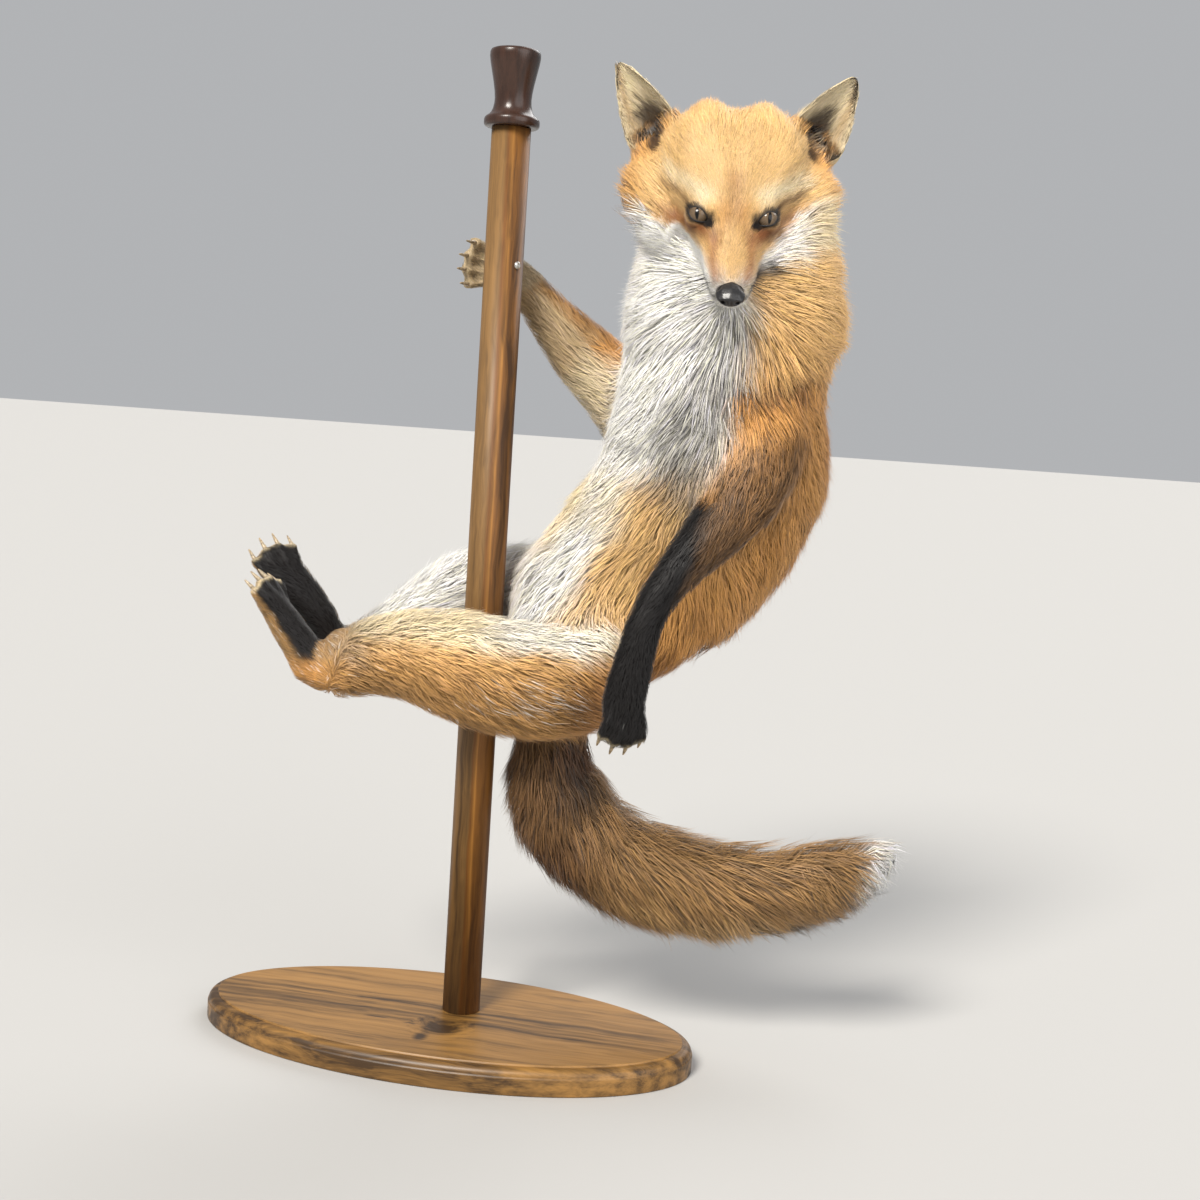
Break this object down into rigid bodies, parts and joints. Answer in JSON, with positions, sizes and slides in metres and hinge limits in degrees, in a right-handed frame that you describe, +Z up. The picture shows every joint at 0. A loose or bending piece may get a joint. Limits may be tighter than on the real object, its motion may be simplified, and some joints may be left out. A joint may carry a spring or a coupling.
{
  "type": "taxidermy red fox",
  "caption": "Stuffed red fox that swings from an upright wooden pole, held by its hind legs and a forepaw, on a moulded oval wooden base.",
  "frame": {"origin": "middle of the oval base's underside, on the surface the stand rests on", "axes": "+Z up along the pole, +X along the base's long axis to the fox's left, -Y to the front, where the fox looks"},
  "size_m": [0.5849, 0.2345, 0.8213],
  "materials": {
    "coat_orange": "long soft guard hair, rust orange with paler tips",
    "coat_white": "long soft white hair with grey roots",
    "coat_black": "short flat black hair",
    "coat_brush": "very long loose brown orange hair with dark tips",
    "claw_horn": "worn pale horn",
    "glass_eye": "polished amber glass with a slit pupil",
    "nose_leather": "moist black pebbled skin",
    "stained_wood": "brown stained, satin varnish",
    "dark_wood": "dark walnut stain, satin varnish",
    "screw_steel": "bright zinc plated"
  },
  "bodies": {
    "root": {"head": "coat_orange", "neck": "coat_white", "chest": "coat_white", "belly": "coat_white", "rump": "coat_orange", "right_ear": "coat_orange", "left_ear": "coat_orange", "right_eye": "glass_eye", "left_eye": "glass_eye", "nose": "nose_leather", "tail_root": "coat_brush", "tail_middle": "coat_brush", "tail_tip": "coat_white", "stand_base": "stained_wood", "stand_pole": "stained_wood", "stand_finial": "dark_wood", "stand_screw": "screw_steel", "left_thigh": "coat_orange", "left_shin": "coat_orange", "left_hind_paw": "coat_black", "left_upper_arm": "coat_orange", "left_forearm": "coat_black", "left_fore_paw": "coat_black", "left_hind_claw_1": "claw_horn", "left_hind_claw_2": "claw_horn", "left_hind_claw_3": "claw_horn", "left_hind_claw_4": "claw_horn", "left_fore_claw_1": "claw_horn", "left_fore_claw_2": "claw_horn", "left_fore_claw_3": "claw_horn", "left_fore_claw_4": "claw_horn", "right_thigh": "coat_orange", "right_shin": "coat_orange", "right_hind_paw": "coat_black", "right_upper_arm": "coat_orange", "right_forearm": "coat_orange", "right_fore_paw": "coat_black", "right_hind_claw_1": "claw_horn", "right_hind_claw_2": "claw_horn", "right_hind_claw_3": "claw_horn", "right_hind_claw_4": "claw_horn", "right_fore_claw_1": "claw_horn", "right_fore_claw_2": "claw_horn", "right_fore_claw_3": "claw_horn", "right_fore_claw_4": "claw_horn"}
  },
  "joints": []
}
